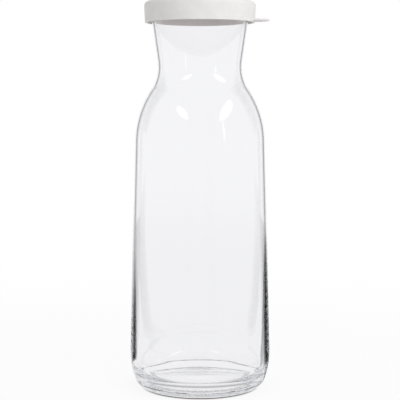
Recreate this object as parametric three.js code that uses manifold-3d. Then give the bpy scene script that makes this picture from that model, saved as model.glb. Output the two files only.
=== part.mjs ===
import * as THREE from "three";
import { mergeVertices } from "three/addons/utils/BufferGeometryUtils.js";
import Module from "manifold-3d";

// A table carafe: a blown body of clear glass, closed by a press-on lid of soft white plastic.
// Millimetres, +Z up, the origin in the middle of the base. The lid's pull tab points along +X.

// Outside of the glass. A radius and a height give the corner where two straight runs would meet,
// and a round is the radius of the arc that blends them.
const BASE_RADIUS = 47.8;
const SHOULDER_RADIUS = 42.9;
const SHOULDER_HEIGHT = 185.3;
const SHOULDER_ROUND = 65;
const WAIST_RADIUS = 26.8;
const WAIST_HEIGHT = 209.2;
const WAIST_ROUND = 25;
const MOUTH_RADIUS = 33.5;
const GLASS_HEIGHT = 256;

// The heel draws in on a wide arc until it leans by so many degrees, then a tight arc rounds the foot
const HEEL_ROUND = 53;
const HEEL_TURN = 22.3;
const FOOT_ROUND = 9.3;

// A shallow hollow under the base leaves a ring for the carafe to stand on
const HOLLOW_RADIUS = 24;
const HOLLOW_DEPTH = 0.4;

// Walls of the glass: even from the thick wall's top up to the shoulder, heavier below it
const NECK_WALL = 1.5;
const SIDE_WALL = 1.4;
const HEEL_WALL = 3.4;
const HEEL_WALL_HEIGHT = 18;
const THICK_WALL_TOP = 100;
const THICK_WALL_ROUND = 1200;
const RIM_ROUND = 0.7;

// The most of a wall that the rounding of one of its edges may take
const EDGE_SHARE = 0.45;

// The inner floor is a bowl whose section is an oval with flattened ends: the first power flattens
// its floor, the second one its wall
const FLOOR_THICKNESS = 4;
const BOWL_HEIGHT = 26;
const BOWL_FLOOR_POWER = 4;
const BOWL_WALL_POWER = 4;

// The lid: a skirt outside the mouth, a plug ring inside it and a flat top over the rim
const LID_CLEARANCE = 0.3;
const LID_TOP = 2;
const LID_ROUND = 3;
const SKIRT_GAP = 2;
const SKIRT_WALL = 1.6;
const SKIRT_DEPTH = 12;
const SKIRT_DRAFT = 0.6;
const SKIRT_EDGE_ROUND = 0.5;
const PLUG_DEPTH = 6.5;
const PLUG_WALL = 1.4;

// The pull tab: a half-round leaf that stands out from the skirt
const TAB_RADIUS = 11;
const TAB_REACH = 9.5;
const TAB_THICKNESS = 1.4;
const TAB_RISE = 1.1;

// How finely the round forms are cut
const TURN_STEPS = 48;
const ARC_STEPS = 7;
const SMALL_ARC_STEPS = 3;
const HEEL_STEPS = 14;
const BOWL_STEPS = 12;
const MERGE_DISTANCE = 1e-4;

const wasm = await Module();
wasm.setup();

/** A point of an outline: its distance from the axis and its height. */
function at(radius, height) {
  return new THREE.Vector2(radius, height);
}

/** Where the line through a and b meets the line through c and d. */
function meet(a, b, c, d) {
  const first = b.clone().sub(a);
  const second = d.clone().sub(c);
  const share = c.clone().sub(a).cross(second) / first.cross(second);
  return a.clone().addScaledVector(first, share);
}

/** The run from a to b, moved sideways by a distance, to the left of its direction. */
function offset(a, b, distance) {
  const along = b.clone().sub(a).normalize();
  const aside = at(-along.y, along.x).multiplyScalar(distance);
  return [a.clone().add(aside), b.clone().add(aside)];
}

/** The arc that blends the two runs which meet at a corner. */
function fillet(before, corner, after, radius, steps) {
  const toBefore = before.clone().sub(corner).normalize();
  const toAfter = after.clone().sub(corner).normalize();
  const halfAngle = toBefore.angleTo(toAfter) / 2;
  const middle = toBefore.clone().add(toAfter).setLength(radius / Math.sin(halfAngle)).add(corner);
  const start = toBefore.clone().multiplyScalar(radius / Math.tan(halfAngle)).add(corner);
  const turn = Math.sign(toAfter.cross(toBefore)) * (Math.PI - 2 * halfAngle);
  const points = [];
  for (let i = 0; i <= steps; i += 1) {
    points.push(start.clone().rotateAround(middle, (turn * i) / steps));
  }
  return points;
}

/** A body turned about +Z from an outline that starts and ends on the axis. */
function turned(outline) {
  const geometry = new THREE.LatheGeometry(outline, TURN_STEPS);
  geometry.rotateX(Math.PI / 2);
  return geometry;
}

/** The closed solid of a geometry, ready to be joined or cut. */
function solidOf(geometry) {
  const bare = geometry.clone();
  bare.deleteAttribute("normal");
  bare.deleteAttribute("uv");
  const merged = mergeVertices(bare, MERGE_DISTANCE);
  const corners = merged.index.array;
  const kept = [];
  for (let i = 0; i < corners.length; i += 3) {
    const [a, b, c] = corners.slice(i, i + 3);
    if (a !== b && b !== c && c !== a) {
      kept.push(a, b, c);
    }
  }
  return new wasm.Manifold(
    new wasm.Mesh({
      numProp: 3,
      vertProperties: Float32Array.from(merged.attributes.position.array),
      triVerts: Uint32Array.from(kept),
    }),
  );
}

/** The geometry of a solid. */
function geometryOf(solid) {
  const mesh = solid.getMesh();
  const geometry = new THREE.BufferGeometry();
  geometry.setAttribute("position", new THREE.BufferAttribute(mesh.vertProperties, 3));
  geometry.setIndex(new THREE.BufferAttribute(mesh.triVerts, 1));
  geometry.computeVertexNormals();
  return geometry;
}

// Corners of the glass, outside
const baseCorner = at(BASE_RADIUS, 0);
const shoulderCorner = at(SHOULDER_RADIUS, SHOULDER_HEIGHT);
const waistCorner = at(WAIST_RADIUS, WAIST_HEIGHT);
const mouthCorner = at(MOUTH_RADIUS, GLASS_HEIGHT);
const rimInside = at(0, GLASS_HEIGHT);

// The inner faces run beside the outer ones, a wall away
const innerSide = offset(baseCorner, shoulderCorner, SIDE_WALL);
const innerShoulder = offset(shoulderCorner, waistCorner, SIDE_WALL);
const innerNeck = offset(waistCorner, mouthCorner, NECK_WALL);
const innerShoulderCorner = meet(...innerSide, ...innerShoulder);
const innerWaistCorner = meet(...innerShoulder, ...innerNeck);
const innerMouthCorner = meet(...innerNeck, mouthCorner, rimInside);

/** The point at a height on the run from a to b. */
function onRun(a, b, height) {
  return meet(a, b, at(0, height), at(1, height));
}

// The thick lower wall: its inner face leans in from the even wall down to the heel
const thickTop = onRun(...innerSide, THICK_WALL_TOP);
const innerHeel = onRun(baseCorner, shoulderCorner, HEEL_WALL_HEIGHT).sub(at(HEEL_WALL, 0));

/** The hollow under the base, from its middle to the ring that the carafe stands on. */
function baseHollow() {
  const points = [];
  for (let i = 0; i <= SMALL_ARC_STEPS; i += 1) {
    const share = i / SMALL_ARC_STEPS;
    points.push(at(HOLLOW_RADIUS * share, HOLLOW_DEPTH * (1 - share * share)));
  }
  return points;
}

/** The outside from the foot ring up to the straight side. */
function heelAndFoot() {
  const lean = Math.atan2(BASE_RADIUS - SHOULDER_RADIUS, SHOULDER_HEIGHT);
  const turn = THREE.MathUtils.degToRad(HEEL_TURN);
  const heelReach = HEEL_ROUND * Math.tan((turn - lean) / 2);
  const footReach = FOOT_ROUND * Math.tan((Math.PI / 2 - turn) / 2);
  const slant = heelReach + footReach;
  const heel = onRun(baseCorner, shoulderCorner, slant * Math.cos(turn));
  const foot = at(heel.x - slant * Math.sin(turn), 0);
  const footArc = fillet(at(0, 0), foot, heel, FOOT_ROUND, ARC_STEPS);
  const heelArc = fillet(foot, heel, shoulderCorner, HEEL_ROUND, HEEL_STEPS);
  return [...footArc, ...heelArc.slice(1)];
}

/** The inside from the thick wall down to the middle of the floor. */
function innerBowl() {
  const points = [];
  for (let i = 0; i <= BOWL_STEPS; i += 1) {
    const angle = (Math.PI / 2) * (i / BOWL_STEPS);
    const height = FLOOR_THICKNESS + BOWL_HEIGHT * (1 - Math.sin(angle) ** (2 / BOWL_WALL_POWER));
    const across = i < BOWL_STEPS ? Math.cos(angle) ** (2 / BOWL_FLOOR_POWER) : 0;
    points.push(at(onRun(thickTop, innerHeel, height).x * across, height));
  }
  return points;
}

/** The whole wall of the carafe: up the outside, over the rim and down the inside to the floor. */
function glassBody() {
  const rimRound = Math.min(RIM_ROUND, NECK_WALL * EDGE_SHARE);
  const outline = [
    ...baseHollow(),
    ...heelAndFoot(),
    ...fillet(baseCorner, shoulderCorner, waistCorner, SHOULDER_ROUND, ARC_STEPS),
    ...fillet(shoulderCorner, waistCorner, mouthCorner, WAIST_ROUND, ARC_STEPS),
    ...fillet(waistCorner, mouthCorner, rimInside, rimRound, SMALL_ARC_STEPS),
    ...fillet(mouthCorner, innerMouthCorner, innerWaistCorner, rimRound, SMALL_ARC_STEPS),
    ...fillet(innerMouthCorner, innerWaistCorner, innerShoulderCorner, WAIST_ROUND + SIDE_WALL, ARC_STEPS),
    ...fillet(innerWaistCorner, innerShoulderCorner, thickTop, SHOULDER_ROUND - SIDE_WALL, ARC_STEPS),
    ...fillet(innerShoulderCorner, thickTop, innerHeel, THICK_WALL_ROUND, SMALL_ARC_STEPS),
    ...innerBowl(),
  ];
  return turned(outline);
}

// Levels and radii of the lid, from the mouth that it closes
const lidUnder = GLASS_HEIGHT + LID_CLEARANCE;
const lidTop = lidUnder + LID_TOP;
const skirtFoot = lidUnder - SKIRT_DEPTH;
const skirtRadius = MOUTH_RADIUS + SKIRT_GAP + SKIRT_WALL;
const skirtFootRadius = skirtRadius - SKIRT_DRAFT;

/** The cap without its tab: top and skirt outside, plug ring inside. */
function lidCap() {
  const topEdge = at(skirtRadius, lidTop);
  const foot = at(skirtFootRadius, skirtFoot);
  const footInside = at(skirtFootRadius - SKIRT_WALL, skirtFoot);
  const skirtInside = at(skirtRadius - SKIRT_WALL, lidUnder);
  const plugFace = offset(...innerNeck, LID_CLEARANCE);
  const plugBack = offset(...plugFace, PLUG_WALL);
  const plugFoot = onRun(...plugFace, lidUnder - PLUG_DEPTH);
  const plugFootBack = onRun(...plugBack, lidUnder - PLUG_DEPTH);
  const edgeRound = Math.min(SKIRT_EDGE_ROUND, SKIRT_WALL * EDGE_SHARE);
  const outline = [
    at(0, lidUnder),
    onRun(...plugBack, lidUnder),
    plugFootBack,
    plugFoot,
    onRun(...plugFace, lidUnder),
    ...fillet(at(0, lidUnder), skirtInside, footInside, LID_ROUND - SKIRT_WALL, SMALL_ARC_STEPS),
    ...fillet(skirtInside, footInside, foot, edgeRound, SMALL_ARC_STEPS),
    ...fillet(footInside, foot, topEdge, edgeRound, SMALL_ARC_STEPS),
    ...fillet(foot, topEdge, at(0, lidTop), LID_ROUND, ARC_STEPS),
    at(0, lidTop),
  ];
  return turned(outline);
}

/** The tab's leaf: a round plate with its back cut away inside the skirt's wall. */
function pullTab() {
  const leaf = new THREE.Shape();
  const leafCentre = skirtFootRadius + TAB_REACH - TAB_RADIUS;
  leaf.absarc(leafCentre, 0, TAB_RADIUS, 0, 2 * Math.PI);
  const plate = new THREE.ExtrudeGeometry(leaf, {
    depth: TAB_THICKNESS,
    bevelEnabled: false,
    curveSegments: TURN_STEPS / 2,
  });
  plate.translate(0, 0, skirtFoot + TAB_RISE);
  const backRadius = skirtFootRadius - SKIRT_WALL / 2;
  const back = turned([
    at(0, skirtFoot),
    at(backRadius, skirtFoot),
    at(backRadius, lidUnder),
    at(0, lidUnder),
  ]);
  return solidOf(plate).subtract(solidOf(back));
}

/** The lid, moulded in one piece with its tab. */
function lid() {
  return geometryOf(solidOf(lidCap()).add(pullTab()));
}

const clearGlass = new THREE.MeshStandardMaterial({
  color: 0xf1f1f4,
  roughness: 0.05,
  metalness: 0,
  transparent: true,
  opacity: 0.35,
});

const whitePlastic = new THREE.MeshStandardMaterial({ color: 0xe4e2de, roughness: 0.55, metalness: 0 });

/** One named piece of the carafe. */
function piece(name, geometry, material) {
  const mesh = new THREE.Mesh(geometry, material);
  mesh.name = name;
  return mesh;
}

const carafe = new THREE.Group();
carafe.add(piece("glass_body", glassBody(), clearGlass));
carafe.add(piece("lid", lid(), whitePlastic));

export default carafe;
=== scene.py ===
import math

import bmesh
import bpy
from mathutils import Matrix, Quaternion, Vector


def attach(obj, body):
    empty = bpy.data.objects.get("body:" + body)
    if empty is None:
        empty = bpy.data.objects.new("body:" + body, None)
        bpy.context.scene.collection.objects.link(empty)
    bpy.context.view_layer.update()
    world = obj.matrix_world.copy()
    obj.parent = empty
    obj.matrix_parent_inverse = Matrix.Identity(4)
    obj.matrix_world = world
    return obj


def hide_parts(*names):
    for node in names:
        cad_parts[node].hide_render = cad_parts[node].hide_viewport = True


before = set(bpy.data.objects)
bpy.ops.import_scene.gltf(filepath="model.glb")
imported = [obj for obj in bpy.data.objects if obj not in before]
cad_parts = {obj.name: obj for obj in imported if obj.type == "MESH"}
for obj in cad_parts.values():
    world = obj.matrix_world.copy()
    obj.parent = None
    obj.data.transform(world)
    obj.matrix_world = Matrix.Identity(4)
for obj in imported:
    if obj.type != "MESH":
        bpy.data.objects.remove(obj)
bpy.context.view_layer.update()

MM = 0.001

# Outside of the glass, in millimetres: the corners where straight runs would meet, and the arcs
# that blend them
BASE_RADIUS = 47.8
SHOULDER_RADIUS = 42.9
SHOULDER_HEIGHT = 185.3
SHOULDER_ROUND = 65
WAIST_RADIUS = 26.8
WAIST_HEIGHT = 209.2
WAIST_ROUND = 25
MOUTH_RADIUS = 33.5
GLASS_HEIGHT = 256

# The heel draws in on a wide arc, turns by an angle, and rounds into the foot on a tight one
HEEL_ROUND = 53
HEEL_TURN = 22.3
FOOT_ROUND = 9.3

# A shallow hollow under the base leaves a ring for the carafe to stand on
HOLLOW_RADIUS = 24
HOLLOW_DEPTH = 0.4

# Walls of the glass: even above the thick wall's top, heavier below it
NECK_WALL = 1.5
SIDE_WALL = 1.4
HEEL_WALL = 3.4
HEEL_WALL_HEIGHT = 18
THICK_WALL_TOP = 100
THICK_WALL_ROUND = 1200
RIM_ROUND = 0.7

# The inner floor is a bowl whose section is an oval with flattened ends: the first power flattens
# its floor, the second one its wall
FLOOR_THICKNESS = 4
BOWL_HEIGHT = 26
BOWL_FLOOR_POWER = 4
BOWL_WALL_POWER = 4

# The lid
LID_CLEARANCE = 0.3
LID_TOP = 2
LID_ROUND = 3
SKIRT_GAP = 2
SKIRT_WALL = 1.6
SKIRT_DEPTH = 12
SKIRT_DRAFT = 0.6
SKIRT_EDGE_ROUND = 0.5
PLUG_DEPTH = 6.5
PLUG_WALL = 1.4
PLUG_EDGE_ROUND = 0.5
TAB_RADIUS = 11
TAB_REACH = 9.5
TAB_THICKNESS = 1.4
TAB_RISE = 1.1
TAB_EDGE_ROUND = 0.5
TAB_ROOT_ROUND = 0.4
TAB_TAPER = 0.1

# How the glass bends light, and what it takes up of it on its way through: the colour that is left,
# and how much per metre
GLASS_IOR = 1.52
GLASS_COLOUR = (0.9, 0.905, 0.92, 1)
GLASS_DENSITY = 10

# The glass is less even near its base than above: heights of its waves, and of where they change,
# in metres
SIDE_WAVE = 0.00001
BASE_WAVE = 0.00005
WAVE_SCALE = 90
WAVE_DETAIL = 2.0
WAVE_ROUGHNESS = 0.4
PRESSED_TOP = 0.022
PRESSED_FULL = 0.006

# The ring that the carafe stands on is scuffed in spots
SCUFF_ROUGHNESS = 0.3
SCUFF_SCALE = 700
SCUFF_DETAIL = 4.0
SCUFF_FULL = 0.0001
SCUFF_TOP = 0.0005
SPOT_START = 0.4
SPOT_FULL = 0.6

# What the glass lets through of the light that falls on the lid and the table, and the foot that
# holds it back
LET_THROUGH_COLOUR = (0.91, 0.897, 0.897, 1)
FOOT_SHADE_COLOUR = (0.02, 0.02, 0.02, 1)
FOOT_SHADE_FULL = 0.007
FOOT_SHADE_TOP = 0.012

# The lid's plastic: faint clouds between two tones and a fine grain, with their heights in metres
PLASTIC_IOR = 1.5
DEEPER_TONE = (0.84, 0.823, 0.81, 1)
PALER_TONE = (0.87, 0.853, 0.84, 1)
CLOUD_SCALE = 140.0
CLOUD_DETAIL = 3.0
CLOUD_START = 0.35
CLOUD_FULL = 0.65
CLOUD_BUMP = 0.00004
GRAIN_SCALE = 2600.0
GRAIN_DETAIL = 2.0
GRAIN_BUMP = 0.00003
SATIN_ROUGHNESS = 0.42
GRAIN_ROUGHNESS = 0.16

# How finely the round forms are cut
TURN_STEPS = 192
ARC_STEPS = 28
SMALL_ARC_STEPS = 8
LEAF_STEPS = 40
BOWL_STEPS = 56
LONGEST_RUN = 4

# The camera, from the photograph's outline: millimetres in front of the axis and above the base, its
# tilt in degrees, its focal length in the picture's pixels
CAMERA_DISTANCE = 800
CAMERA_HEIGHT = 192
CAMERA_PITCH = 4.69
FOCAL_PIXELS = 1195
PICTURE_PIXELS = 400
SENSOR_WIDTH = 36

# The set, in metres and degrees: a white backdrop behind the carafe, bright sides, and between them
# on either side a gap where the dark studio shows, down to the table
GAP_SOLID = 40
GAP_FADE = 60
ROOM_SOLID = 29
ROOM_FADE = 42
ROOM_DEPTH = 1
ROOM_HEIGHT = 2
ROOM_COLOUR = (0.36, 0.36, 0.378, 1)
WING_COLOUR = (0.01, 0.01, 0.011, 1)
BACKDROP_LEVEL = 0.94
BACKDROP_COLOUR = (0.975, 0.975, 1, 1)
AMBIENT_LEVEL = 0.58

# The lamp and the glowing cloths stand at one distance and face one height on the carafe's axis; a
# cloth's glow starts to fade at a share of the square of its half size
LAMP_AIM = 0.15
LAMP_DISTANCE = 1.2
KEY_POWER = 5.4
KEY_WIDTH = 0.6
KEY_HEIGHT = 0.7
KEY_AZIMUTH = 40
KEY_ELEVATION = 38
CLOTH_FADE_START = 0.2

# The paper under the carafe: how it brightens towards the backdrop, how much of the carafe's shade
# it keeps, and a painted contact shadow, a dark ring round the foot, for the camera and for what the
# glass shows of it
PAPER_COLOUR = (0.9, 0.9, 0.9, 1)
FLOOR_REACH = 6
FLOOR_CORNERS = 64
FLOOR_DROP = 0.0002
TABLE_LEVEL = 0.9
TABLE_END = 0.2
BACKDROP_START = 2
FLOOR_SHADE = 0.08
SHADE_FULL = 0.1
SHADE_END = 0.6
# The painted contact shadow: its share for the camera and for what the glass shows, and the radii where
# it starts, is full and ends
CONTACT_SHADOW_SHARE = 1.0
CONTACT_SHADOW_THROUGH = 0.5
CONTACT_SHADOW_START = 0.031
CONTACT_SHADOW_FULL = 0.0355
CONTACT_SHADOW_END = 0.04

# How often light may turn, since it takes many turns inside the glass
MOST_BOUNCES = 128


def at(radius, height):
    """A point of an outline: its distance from the axis and its height."""
    return Vector((radius, height))


def meet(a, b, c, d):
    """Where the line through a and b meets the line through c and d."""
    first = b - a
    second = d - c
    return a + first * ((c - a).cross(second) / first.cross(second))


def offset(a, b, distance):
    """The run from a to b, moved to the left of its direction."""
    along = (b - a).normalized()
    aside = at(-along.y, along.x) * distance
    return a + aside, b + aside


def on_run(a, b, height):
    """The point at a height on the run from a to b."""
    return meet(a, b, at(0, height), at(1, height))


def fillet(before, corner, after, radius, steps):
    """The arc that blends the two runs which meet at a corner."""
    to_before = (before - corner).normalized()
    to_after = (after - corner).normalized()
    half = to_before.angle(to_after) / 2
    middle = corner + (to_before + to_after).normalized() * (radius / math.sin(half))
    spoke = corner + to_before * (radius / math.tan(half)) - middle
    turn = math.copysign(math.pi - 2 * half, to_after.cross(to_before))
    points = []
    for i in range(steps + 1):
        angle = turn * i / steps
        cos, sin = math.cos(angle), math.sin(angle)
        points.append(middle + at(spoke.x * cos - spoke.y * sin, spoke.x * sin + spoke.y * cos))
    return points


def divided(points, longest):
    """The outline with its long runs cut into shorter ones."""
    out = [points[0]]
    for a, b in zip(points, points[1:]):
        count = max(1, math.ceil((b - a).length / longest))
        for i in range(1, count + 1):
            out.append(a.lerp(b, i / count))
    return out


def even_turn():
    """Equal steps round the axis."""
    return [2 * math.pi * i / TURN_STEPS for i in range(TURN_STEPS)]


def turned(name, angles, outline_at):
    """A smooth closed body: at each angle about +Z an outline that starts and ends on the axis."""
    form = bmesh.new()
    outlines = [outline_at(angle) for angle in angles]
    count = len(outlines[0])
    first = form.verts.new((0, 0, outlines[0][0].y * MM))
    last = form.verts.new((0, 0, outlines[0][-1].y * MM))
    strips = []
    for angle, outline in zip(angles, outlines):
        strip = [first]
        for point in outline[1:-1]:
            strip.append(form.verts.new(
                (point.x * math.cos(angle) * MM, point.x * math.sin(angle) * MM, point.y * MM)
            ))
        strips.append([*strip, last])
    for here, there in zip(strips, strips[1:] + strips[:1]):
        for i in range(count - 1):
            form.faces.new(dict.fromkeys([here[i], there[i], there[i + 1], here[i + 1]]))
    for face in form.faces:
        face.smooth = True
    mesh = bpy.data.meshes.new(name)
    form.to_mesh(mesh)
    form.free()
    body = bpy.data.objects.new(name, mesh)
    bpy.context.scene.collection.objects.link(body)
    return body


class Value:
    """A node's output, with the arithmetic that the finishes are written in."""

    def __init__(self, finish, socket):
        self.finish = finish
        self.socket = socket

    def math(self, operation, first, second):
        return self.finish.add("ShaderNodeMath", {"operation": operation}, {0: first, 1: second})

    def __add__(self, other):
        return self.math("ADD", self, other)

    def __radd__(self, other):
        return self.math("ADD", other, self)

    def __sub__(self, other):
        return self.math("SUBTRACT", self, other)

    def __rsub__(self, other):
        return self.math("SUBTRACT", other, self)

    def __mul__(self, other):
        return self.math("MULTIPLY", self, other)

    def __rmul__(self, other):
        return self.math("MULTIPLY", other, self)

    def __truediv__(self, other):
        return self.math("DIVIDE", self, other)

    def __rtruediv__(self, other):
        return self.math("DIVIDE", other, self)

    def __pow__(self, other):
        return self.math("POWER", self, other)

    def __rpow__(self, other):
        return self.math("POWER", other, self)


class Finish:
    """The node tree of a material or of the world."""

    def __init__(self, tree):
        self.tree = tree
        self.tree.nodes.clear()

    def add(self, kind, settings=None, sockets=None, output=0):
        """Adds a node: its settings first, then the values or links of its sockets."""
        node = self.tree.nodes.new(kind)
        for name, setting in (settings or {}).items():
            setattr(node, name, setting)
        for key, value in (sockets or {}).items():
            if isinstance(value, Value):
                self.tree.links.new(value.socket, node.inputs[key])
            else:
                node.inputs[key].default_value = value
        return Value(self, node.outputs[output]) if node.outputs else None

    def fade(self, value, start, end, first=0.0, last=1.0):
        """A soft step from one number to another as a value goes from start to end."""
        return self.add("ShaderNodeMapRange", {"interpolation_type": "SMOOTHSTEP"}, {
            "Value": value, "From Min": start, "From Max": end, "To Min": first, "To Max": last,
        })


def material(name):
    """A new material and its node tree."""
    made = bpy.data.materials.new(name)
    made.use_nodes = True
    return made, Finish(made.node_tree)


def clear_glass():
    made, f = material("clear_glass")
    place = f.add("ShaderNodeTexCoord", output="Object")
    height = f.add("ShaderNodeSeparateXYZ", None, {"Vector": place}, output="Z")
    pressed = f.fade(height, PRESSED_FULL, PRESSED_TOP, 1.0, 0.0)
    waves = f.add("ShaderNodeTexNoise", None, {
        "Vector": place, "Scale": WAVE_SCALE, "Detail": WAVE_DETAIL, "Roughness": WAVE_ROUGHNESS,
    })
    uneven = f.add("ShaderNodeBump", None, {
        "Height": waves * (SIDE_WAVE + (BASE_WAVE - SIDE_WAVE) * pressed),
        "Strength": 1.0,
        "Distance": 1.0,
    })
    wear = f.add("ShaderNodeTexNoise", None, {
        "Vector": place, "Scale": SCUFF_SCALE, "Detail": SCUFF_DETAIL,
    })
    on_ring = f.fade(height, SCUFF_FULL, SCUFF_TOP, 1.0, 0.0)
    scuffed = on_ring * f.fade(wear, SPOT_START, SPOT_FULL)
    body = f.add("ShaderNodeBsdfPrincipled", None, {
        "Base Color": (1, 1, 1, 1),
        "Roughness": SCUFF_ROUGHNESS * scuffed,
        "IOR": GLASS_IOR,
        "Transmission Weight": 1.0,
        "Normal": uneven,
    })
    let_through = f.add("ShaderNodeBsdfTransparent", None, {"Color": LET_THROUGH_COLOUR})
    held_back = f.add("ShaderNodeBsdfDiffuse", None, {"Color": FOOT_SHADE_COLOUR})
    thick = f.fade(height, FOOT_SHADE_FULL, FOOT_SHADE_TOP, 1.0, 0.0)
    cast = f.add("ShaderNodeMixShader", None, {"Fac": thick, 1: let_through, 2: held_back})
    shadow = f.add("ShaderNodeLightPath", output="Is Shadow Ray")
    bounce = f.add("ShaderNodeLightPath", output="Is Diffuse Ray")
    both = f.add("ShaderNodeMixShader", None, {"Fac": shadow + bounce, 1: body, 2: cast})
    depth = f.add("ShaderNodeVolumeAbsorption", None, {
        "Color": GLASS_COLOUR, "Density": GLASS_DENSITY,
    })
    f.add("ShaderNodeOutputMaterial", None, {"Surface": both, "Volume": depth})
    return made


def white_plastic():
    made, f = material("white_plastic")
    place = f.add("ShaderNodeTexCoord", output="Object")
    clouds = f.add("ShaderNodeTexNoise", None, {
        "Vector": place, "Scale": CLOUD_SCALE, "Detail": CLOUD_DETAIL,
    })
    grain = f.add("ShaderNodeTexNoise", None, {
        "Vector": place, "Scale": GRAIN_SCALE, "Detail": GRAIN_DETAIL,
    })
    tone = f.add("ShaderNodeMix", {"data_type": "RGBA"}, {
        "Factor": f.fade(clouds, CLOUD_START, CLOUD_FULL), "A": DEEPER_TONE, "B": PALER_TONE,
    }, output=2)
    satin = f.add("ShaderNodeBump", None, {
        "Height": grain * GRAIN_BUMP + clouds * CLOUD_BUMP, "Distance": 1.0,
    })
    body = f.add("ShaderNodeBsdfPrincipled", None, {
        "Base Color": tone,
        "Roughness": SATIN_ROUGHNESS + GRAIN_ROUGHNESS * grain,
        "IOR": PLASTIC_IOR,
        "Normal": satin,
    })
    f.add("ShaderNodeOutputMaterial", None, {"Surface": body})
    return made


base_corner = at(BASE_RADIUS, 0)
shoulder_corner = at(SHOULDER_RADIUS, SHOULDER_HEIGHT)
waist_corner = at(WAIST_RADIUS, WAIST_HEIGHT)
mouth_corner = at(MOUTH_RADIUS, GLASS_HEIGHT)
rim_inside = at(0, GLASS_HEIGHT)
inner_side = offset(base_corner, shoulder_corner, SIDE_WALL)
inner_shoulder = offset(shoulder_corner, waist_corner, SIDE_WALL)
inner_neck = offset(waist_corner, mouth_corner, NECK_WALL)


def heel_and_foot():
    """The outside from the foot ring up to the straight side."""
    lean = math.atan2(BASE_RADIUS - SHOULDER_RADIUS, SHOULDER_HEIGHT)
    turn = math.radians(HEEL_TURN)
    heel_reach = HEEL_ROUND * math.tan((turn - lean) / 2)
    foot_reach = FOOT_ROUND * math.tan((math.pi / 2 - turn) / 2)
    heel = on_run(base_corner, shoulder_corner, (heel_reach + foot_reach) * math.cos(turn))
    foot = at(heel.x - (heel_reach + foot_reach) * math.sin(turn), 0)
    return [
        *fillet(at(0, 0), foot, heel, FOOT_ROUND, ARC_STEPS)[:-1],
        *fillet(foot, heel, shoulder_corner, HEEL_ROUND, ARC_STEPS),
    ]


def inner_bowl(wall_top, wall_low):
    """The inside from the thick wall down to the middle of the floor."""
    points = []
    for i in range(BOWL_STEPS + 1):
        angle = math.pi / 2 * i / BOWL_STEPS
        height = FLOOR_THICKNESS + BOWL_HEIGHT * (1 - math.sin(angle) ** (2 / BOWL_WALL_POWER))
        across = math.cos(angle) ** (2 / BOWL_FLOOR_POWER) if i < BOWL_STEPS else 0
        points.append(at(on_run(wall_top, wall_low, height).x * across, height))
    return points


def base_hollow():
    """The hollow under the base, from its middle outwards."""
    points = []
    for i in range(ARC_STEPS):
        share = i / ARC_STEPS
        points.append(at(HOLLOW_RADIUS * share, HOLLOW_DEPTH * (1 - share * share) ** 2))
    return points


def glass_outline():
    """The whole wall: up the outside, over the rim and down the inside to the floor."""
    shoulder_in = meet(*inner_side, *inner_shoulder)
    waist_in = meet(*inner_shoulder, *inner_neck)
    mouth_in = meet(*inner_neck, mouth_corner, rim_inside)
    thick_top = on_run(*inner_side, THICK_WALL_TOP)
    heel_in = on_run(base_corner, shoulder_corner, HEEL_WALL_HEIGHT) - at(HEEL_WALL, 0)
    points = [
        *base_hollow(),
        *heel_and_foot(),
        *fillet(base_corner, shoulder_corner, waist_corner, SHOULDER_ROUND, ARC_STEPS),
        *fillet(shoulder_corner, waist_corner, mouth_corner, WAIST_ROUND, ARC_STEPS),
        *fillet(waist_corner, mouth_corner, rim_inside, RIM_ROUND, SMALL_ARC_STEPS),
        *fillet(mouth_corner, mouth_in, waist_in, RIM_ROUND, SMALL_ARC_STEPS),
        *fillet(mouth_in, waist_in, shoulder_in, WAIST_ROUND + SIDE_WALL, ARC_STEPS),
        *fillet(waist_in, shoulder_in, thick_top, SHOULDER_ROUND - SIDE_WALL, ARC_STEPS),
        *fillet(shoulder_in, thick_top, heel_in, THICK_WALL_ROUND, SMALL_ARC_STEPS),
        *inner_bowl(thick_top, heel_in),
    ]
    return divided(points, LONGEST_RUN)


lid_under = GLASS_HEIGHT + LID_CLEARANCE
lid_top = lid_under + LID_TOP
skirt_foot = lid_under - SKIRT_DEPTH
skirt_radius = MOUTH_RADIUS + SKIRT_GAP + SKIRT_WALL
skirt_foot_radius = skirt_radius - SKIRT_DRAFT
leaf_centre = skirt_foot_radius + TAB_REACH - TAB_RADIUS


def lid_angles():
    """Steps round the lid: even ones, and finer ones along the tab's half-round edge."""
    leaf = []
    for i in range(LEAF_STEPS + 1):
        angle = math.pi * (i / LEAF_STEPS - 0.5)
        leaf.append(math.atan2(TAB_RADIUS * math.sin(angle), leaf_centre + TAB_RADIUS * math.cos(angle)))
    rest = 2 * math.pi - (leaf[-1] - leaf[0])
    return leaf + [leaf[-1] + rest * i / TURN_STEPS for i in range(1, TURN_STEPS)]


def tab_section(angle, skirt_at):
    """The skirt's outside from below the tab to above it, with the tab's leaf where it stands out."""
    aside = leaf_centre * math.sin(angle)
    reach = -skirt_foot_radius
    if math.cos(angle) > 0 and abs(aside) < TAB_RADIUS:
        reach += leaf_centre * math.cos(angle) + math.sqrt(TAB_RADIUS ** 2 - aside ** 2)
    reach = max(reach, 0)
    low = skirt_foot + TAB_RISE
    high = low + TAB_THICKNESS
    root = []
    edge = []
    for i in range(SMALL_ARC_STEPS + 1):
        turn = math.pi / 2 * i / SMALL_ARC_STEPS
        root.append((TAB_ROOT_ROUND * (1 - math.sin(turn)), TAB_ROOT_ROUND * (1 - math.cos(turn))))
        edge.append((TAB_EDGE_ROUND * (1 - math.sin(turn)), TAB_EDGE_ROUND * (1 - math.cos(turn))))
    points = []
    for away, down in reversed(root):
        points.append((min(away, reach), low - down))
    for away, up in edge:
        points.append((max(reach - away, 0), low + TAB_TAPER + up))
    for away, down in reversed(edge):
        points.append((max(reach - away, 0), high - TAB_TAPER - down))
    for away, up in root:
        points.append((min(away, reach), high + up))
    return [at(skirt_at(height) + away, height) for away, height in points]


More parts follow.
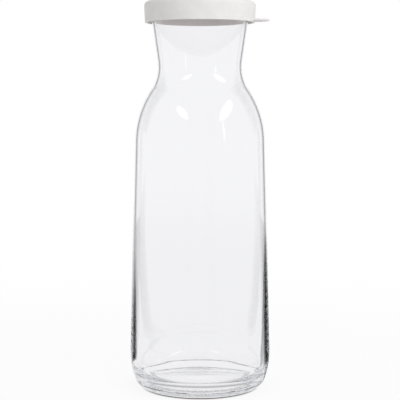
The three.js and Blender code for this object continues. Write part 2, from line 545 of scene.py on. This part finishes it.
def lid_outline(angle):
    """The cap: out under the top and round the plug ring, down inside the skirt, up its outside and
    back over the top."""
    top_edge = at(skirt_radius, lid_top)
    foot = at(skirt_foot_radius, skirt_foot)
    foot_in = foot - at(SKIRT_WALL, 0)
    skirt_in = at(skirt_radius - SKIRT_WALL, lid_under)
    plug_face = offset(*inner_neck, LID_CLEARANCE)
    plug_back = offset(*plug_face, PLUG_WALL)
    plug_foot = on_run(*plug_face, lid_under - PLUG_DEPTH)
    plug_foot_back = on_run(*plug_back, lid_under - PLUG_DEPTH)
    plug_root = on_run(*plug_face, lid_under)
    plug_root_back = on_run(*plug_back, lid_under)
    return [
        at(0, lid_under),
        *fillet(at(0, lid_under), plug_root_back, plug_foot_back, PLUG_EDGE_ROUND, SMALL_ARC_STEPS),
        *fillet(plug_root_back, plug_foot_back, plug_foot, PLUG_EDGE_ROUND, SMALL_ARC_STEPS),
        *fillet(plug_foot_back, plug_foot, plug_root, PLUG_EDGE_ROUND, SMALL_ARC_STEPS),
        *fillet(plug_foot, plug_root, skirt_in, PLUG_EDGE_ROUND, SMALL_ARC_STEPS),
        *fillet(plug_root, skirt_in, foot_in, LID_ROUND - SKIRT_WALL, SMALL_ARC_STEPS),
        *fillet(skirt_in, foot_in, foot, SKIRT_EDGE_ROUND, SMALL_ARC_STEPS),
        *fillet(foot_in, foot, top_edge, SKIRT_EDGE_ROUND, SMALL_ARC_STEPS),
        *tab_section(angle, lambda height: on_run(top_edge, foot, height).x),
        *fillet(foot, top_edge, at(0, lid_top), LID_ROUND, ARC_STEPS),
        at(0, lid_top),
    ]


wall = glass_outline()
carafe_glass = turned("carafe_glass", even_turn(), lambda angle: wall)
carafe_glass.data.materials.append(clear_glass())
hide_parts("glass_body")
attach(carafe_glass, "carafe")

press_on_lid = turned("press_on_lid", lid_angles(), lid_outline)
press_on_lid.data.materials.append(white_plastic())
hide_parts("lid")
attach(press_on_lid, "cap")

scene = bpy.context.scene
scene.view_settings.view_transform = "Standard"
scene.cycles.max_bounces = MOST_BOUNCES
scene.cycles.glossy_bounces = MOST_BOUNCES
scene.cycles.transmission_bounces = MOST_BOUNCES

eye = bpy.data.cameras.new("camera")
eye.sensor_width = SENSOR_WIDTH
eye.lens = SENSOR_WIDTH * FOCAL_PIXELS / PICTURE_PIXELS
camera = bpy.data.objects.new("camera", eye)
camera.location = (0, -CAMERA_DISTANCE * MM, CAMERA_HEIGHT * MM)
camera.rotation_euler = (math.radians(90 - CAMERA_PITCH), 0, 0)
scene.collection.objects.link(camera)
scene.camera = camera


def sheet(name, corners, surface):
    """A flat sheet of the set."""
    mesh = bpy.data.meshes.new(name)
    mesh.from_pydata(corners, [], [tuple(range(len(corners)))])
    mesh.materials.append(surface)
    piece = bpy.data.objects.new(name, mesh)
    scene.collection.objects.link(piece)
    return piece


def slope(angle):
    """How far a slant goes aside for each metre behind, from its angle in degrees."""
    return math.tan(math.radians(angle))


def round_about(piece):
    """Lets a part of the set show only in reflections and through the glass, and turn about the
    carafe as the camera does."""
    piece.visible_camera = False
    piece.visible_diffuse = False
    piece.visible_shadow = False
    facing = piece.constraints.new("LOCKED_TRACK")
    facing.target = camera
    facing.track_axis = "TRACK_NEGATIVE_Y"
    facing.lock_axis = "LOCK_Z"


def dark_card(name, side, gap_start, corners, dark_end, dim_start, solid, faded):
    """A card that darkens one side of the set: dark near the carafe, dim further off, and faded out
    sideways beyond a slant."""
    made, f = material(name)
    dark = f.add("ShaderNodeEmission", None, {"Color": WING_COLOUR})
    dim = f.add("ShaderNodeEmission", None, {"Color": ROOM_COLOUR})
    clear = f.add("ShaderNodeBsdfTransparent")
    place = f.add("ShaderNodeTexCoord", output="Object")
    aside = f.add("ShaderNodeSeparateXYZ", None, {"Vector": place}, output="X")
    behind = f.add("ShaderNodeSeparateXYZ", None, {"Vector": place}, output="Y")
    slant = (side * aside - gap_start) / behind
    shade = f.add("ShaderNodeMixShader", None, {
        "Fac": f.fade(behind, dark_end, dim_start), 1: dark, 2: dim,
    })
    there = f.fade(slant, slope(solid), slope(faded), 1.0, 0.0)
    both = f.add("ShaderNodeMixShader", None, {"Fac": there, 1: clear, 2: shade})
    f.add("ShaderNodeOutputMaterial", None, {"Surface": both})
    round_about(sheet(name, [(side * x, y, z) for x, y, z in corners], made))


def side_gap(word, side, gap_start, room_angle, wing_angle, wing_start, dark_end, dim_start):
    """The gap between the backdrop and a bright side: the dim room, and the dark beside the table."""
    def edge(behind, angle, height):
        return gap_start + behind * slope(angle), behind, height

    dark_card(f"{word}_room", side, gap_start, [
        edge(ROOM_DEPTH, room_angle, 0),
        edge(ROOM_DEPTH, room_angle, ROOM_HEIGHT),
        edge(ROOM_DEPTH, GAP_FADE, ROOM_HEIGHT),
        edge(ROOM_DEPTH, GAP_FADE, 0),
    ], dark_end, dim_start, ROOM_SOLID, ROOM_FADE)
    dark_card(f"{word}_wing", side, gap_start, [
        edge(wing_start, wing_angle, 0),
        edge(dark_end, wing_angle, 0),
        edge(ROOM_DEPTH, room_angle, 0),
        edge(ROOM_DEPTH, GAP_FADE, 0),
        edge(wing_start, GAP_FADE, 0),
    ], dark_end, dim_start, GAP_SOLID, GAP_FADE)


def paper_floor():
    made, f = material("studio_paper")
    lit = f.add("ShaderNodeBsdfDiffuse", None, {"Color": PAPER_COLOUR})
    diffuse = f.add("ShaderNodeLightPath", output="Is Diffuse Ray")
    seen = f.add("ShaderNodeLightPath", output="Is Camera Ray")
    place = f.add("ShaderNodeTexCoord", output="Object")
    away = f.add("ShaderNodeVectorMath", {"operation": "LENGTH"}, {0: place}, output="Value")
    near = f.add("ShaderNodeEmission", None, {"Color": BACKDROP_COLOUR, "Strength": TABLE_LEVEL})
    far = f.add("ShaderNodeEmission", None, {"Color": BACKDROP_COLOUR, "Strength": BACKDROP_LEVEL})
    bright = f.add("ShaderNodeEmission", None, {"Color": (1, 1, 1, 1), "Strength": 1.0})
    depth = f.add("ShaderNodeMixShader", None, {
        "Fac": f.fade(away, TABLE_END, BACKDROP_START), 1: near, 2: far,
    })
    white = f.add("ShaderNodeMixShader", None, {"Fac": seen, 1: depth, 2: bright})
    shade = f.fade(away, SHADE_FULL, SHADE_END, FLOOR_SHADE, 0.0) * seen
    # A painted contact shadow: in a ring round the foot the paper shows its lit part instead of its even
    # white, so it is darker there, and the foot's real shade darkens it further
    inner_edge = f.fade(away, CONTACT_SHADOW_START, CONTACT_SHADOW_FULL)
    outer_edge = f.fade(away, CONTACT_SHADOW_FULL, CONTACT_SHADOW_END, 1.0, 0.0)
    strength = CONTACT_SHADOW_THROUGH + (CONTACT_SHADOW_SHARE - CONTACT_SHADOW_THROUGH) * seen
    painted_contact_shadow = inner_edge * outer_edge * strength
    lift = (1 - diffuse) * (1 - (shade + painted_contact_shadow))
    paper = f.add("ShaderNodeMixShader", None, {"Fac": lift, 1: lit, 2: white})
    f.add("ShaderNodeOutputMaterial", None, {"Surface": paper})
    return made


def studio():
    corners = []
    for i in range(FLOOR_CORNERS):
        angle = 2 * math.pi * i / FLOOR_CORNERS
        corners.append((FLOOR_REACH * math.cos(angle), FLOOR_REACH * math.sin(angle), -FLOOR_DROP))
    sheet("studio_floor", corners, paper_floor())

    world = bpy.data.worlds.new("studio")
    world.use_nodes = True
    scene.world = world
    f = Finish(world.node_tree)
    diffuse = f.add("ShaderNodeLightPath", output="Is Diffuse Ray")
    seen = f.add("ShaderNodeLightPath", output="Is Camera Ray")
    mirrored = f.add("ShaderNodeBackground", None, {
        "Color": BACKDROP_COLOUR, "Strength": BACKDROP_LEVEL,
    })
    ambient = f.add("ShaderNodeBackground", None, {"Color": (1, 1, 1, 1), "Strength": AMBIENT_LEVEL})
    white = f.add("ShaderNodeBackground", None, {"Color": (1, 1, 1, 1), "Strength": 1.0})
    around = f.add("ShaderNodeMixShader", None, {"Fac": diffuse, 1: mirrored, 2: ambient})
    sky = f.add("ShaderNodeMixShader", None, {"Fac": seen, 1: around, 2: white})
    f.add("ShaderNodeOutputWorld", None, {"Surface": sky})

    side_gap(
        "left", side=-1, gap_start=0.05, room_angle=22, wing_angle=20, wing_start=0.05,
        dark_end=0.18, dim_start=0.5,
    )
    side_gap(
        "right", side=1, gap_start=0.04, room_angle=22, wing_angle=17, wing_start=0.005,
        dark_end=0.4, dim_start=0.95,
    )


def aimed(piece, azimuth, elevation, roll):
    """Puts a lamp or a cloth of the set at its place round the carafe, turned towards it."""
    around, up = math.radians(azimuth), math.radians(elevation)
    way = Vector((math.sin(around) * math.cos(up), -math.cos(around) * math.cos(up), math.sin(up)))
    piece.location = Vector((0, 0, LAMP_AIM)) + way * LAMP_DISTANCE
    turn = way.to_track_quat("Z", "Y") @ Quaternion((0, 0, 1), math.radians(roll))
    piece.rotation_euler = turn.to_euler()


def key_lamp():
    """The lamp on the right that shades the lid; the glass does not mirror it but glowing cloths that
    stand apart from it.
    """
    light = bpy.data.lights.new("key_lamp", "AREA")
    light.shape = "RECTANGLE"
    light.size = KEY_WIDTH
    light.size_y = KEY_HEIGHT
    light.energy = KEY_POWER
    lamp = bpy.data.objects.new("key_lamp", light)
    lamp.visible_glossy = False
    lamp.visible_transmission = False
    scene.collection.objects.link(lamp)
    aimed(lamp, KEY_AZIMUTH, KEY_ELEVATION, 0)


def highlight_glow_sheet(name, azimuth, elevation, roll, width, height, glow):
    """A soft glowing cloth that puts painted highlights on the glass: no lamp stands behind it, it gives
    no light to diffuse surfaces, and it shows only in reflections and through the glass.
    """
    made, f = material(name)
    light = f.add("ShaderNodeEmission", None, {"Color": (1, 1, 1, 1), "Strength": glow})
    clear = f.add("ShaderNodeBsdfTransparent")
    place = f.add("ShaderNodeTexCoord", output="Object")
    across = f.add("ShaderNodeSeparateXYZ", None, {"Vector": place}, output="X")
    along = f.add("ShaderNodeSeparateXYZ", None, {"Vector": place}, output="Y")
    edge = (2 * across / width) ** 2 + (2 * along / height) ** 2
    both = f.add("ShaderNodeMixShader", None, {
        "Fac": f.fade(edge, CLOTH_FADE_START, 1.0, 1.0, 0.0), 1: clear, 2: light,
    })
    f.add("ShaderNodeOutputMaterial", None, {"Surface": both})
    right, top = width / 2, height / 2
    cloth = sheet(name, [(-right, -top, 0), (right, -top, 0), (right, top, 0), (-right, top, 0)], made)
    cloth.visible_camera = False
    cloth.visible_diffuse = False
    cloth.visible_shadow = False
    aimed(cloth, azimuth, elevation, roll)


studio()
key_lamp()
# Glowing cloths that put painted highlights on the glass; no lamp stands behind them
highlight_glow_sheet("right_cloth", azimuth=57, elevation=35, roll=-68, width=0.3, height=0.95, glow=3)
highlight_glow_sheet("right_strip", azimuth=43, elevation=14, roll=0, width=0.12, height=0.6, glow=2)
highlight_glow_sheet("left_cloth", azimuth=-37, elevation=35, roll=68, width=0.24, height=0.7, glow=2.5)
